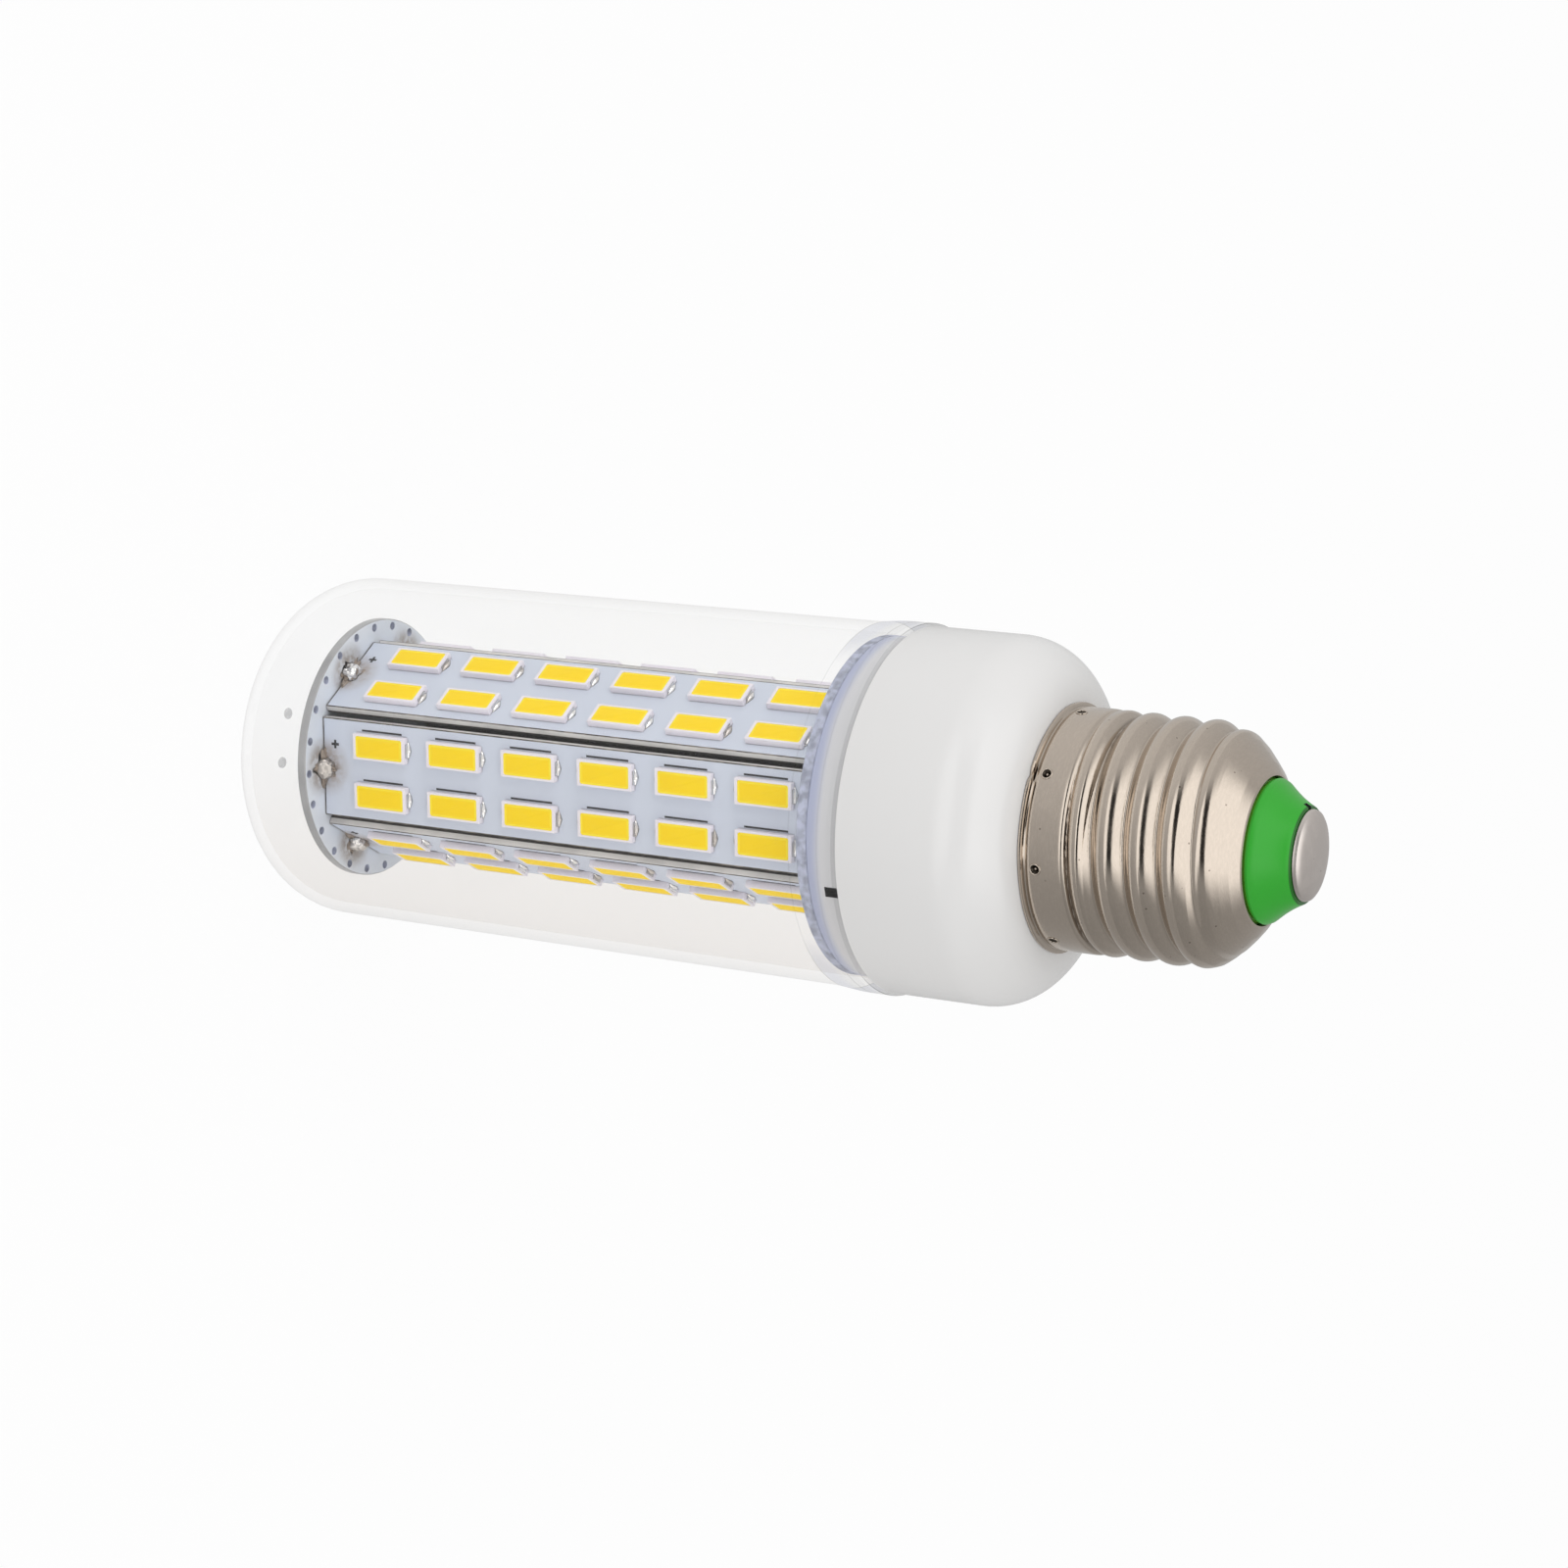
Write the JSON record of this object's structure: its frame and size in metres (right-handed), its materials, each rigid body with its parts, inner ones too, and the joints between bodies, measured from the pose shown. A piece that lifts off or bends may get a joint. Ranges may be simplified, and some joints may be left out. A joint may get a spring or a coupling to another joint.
{
  "type": "corn led bulb",
  "caption": "Slim tubular LED bulb: clear cover with a flat closed end, strips of yellow-windowed LEDs inside, white rounded housing and an Edison screw cap with green insulator.",
  "frame": {"origin": "centre of the flat closed end of the cover, which the bulb stands on", "axes": "+Z along the bulb axis from the closed end to the centre contact of the cap; -Y towards the middle of the first strip of LEDs; +X to the right, seen from -Y"},
  "size_m": [0.0408, 0.0408, 0.1264],
  "materials": {
    "clear_plastic": "clear, glossy",
    "white_plastic": "glossy",
    "nickel": "nickel-plated, fine scratches",
    "green_plastic": "glossy",
    "contact_metal": "satin",
    "board_aluminium": "white solder mask on metal",
    "strip_aluminium": "pale solder mask on metal",
    "led_plastic": "satin",
    "phosphor": "satin",
    "solder": "bright",
    "driver_laminate": "satin",
    "film_red": "glossy",
    "capacitor_sleeve": "glossy",
    "moulded_black": "matte",
    "resistor_green": "matte",
    "resistor_tan": "matte",
    "wire_red": "satin",
    "wire_white": "satin"
  },
  "bodies": {
    "root": {"cover": "clear_plastic", "housing": "white_plastic", "screw_cap": "nickel", "cap_insulator": "green_plastic", "centre_contact": "contact_metal", "end_board": "board_aluminium", "base_board": "board_aluminium", "led_strip_1": "strip_aluminium", "led_bodies_1": "led_plastic", "led_phosphors_1": "phosphor", "led_solder_1": "solder", "led_strip_2": "strip_aluminium", "led_bodies_2": "led_plastic", "led_phosphors_2": "phosphor", "led_solder_2": "solder", "led_strip_3": "strip_aluminium", "led_bodies_3": "led_plastic", "led_phosphors_3": "phosphor", "led_solder_3": "solder", "led_strip_4": "strip_aluminium", "led_bodies_4": "led_plastic", "led_phosphors_4": "phosphor", "led_solder_4": "solder", "led_strip_5": "strip_aluminium", "led_bodies_5": "led_plastic", "led_phosphors_5": "phosphor", "led_solder_5": "solder", "led_strip_6": "strip_aluminium", "led_bodies_6": "led_plastic", "led_phosphors_6": "phosphor", "led_solder_6": "solder", "end_joints": "solder", "base_joints": "solder", "driver_board": "driver_laminate", "film_capacitor": "film_red", "electrolytic_capacitor": "capacitor_sleeve", "bridge_rectifier": "moulded_black", "fuse_resistor": "resistor_green", "bleed_resistor": "resistor_tan", "live_wire": "wire_red", "neutral_wire": "wire_white", "positive_wire": "wire_red", "negative_wire": "wire_white"}
  },
  "joints": []
}
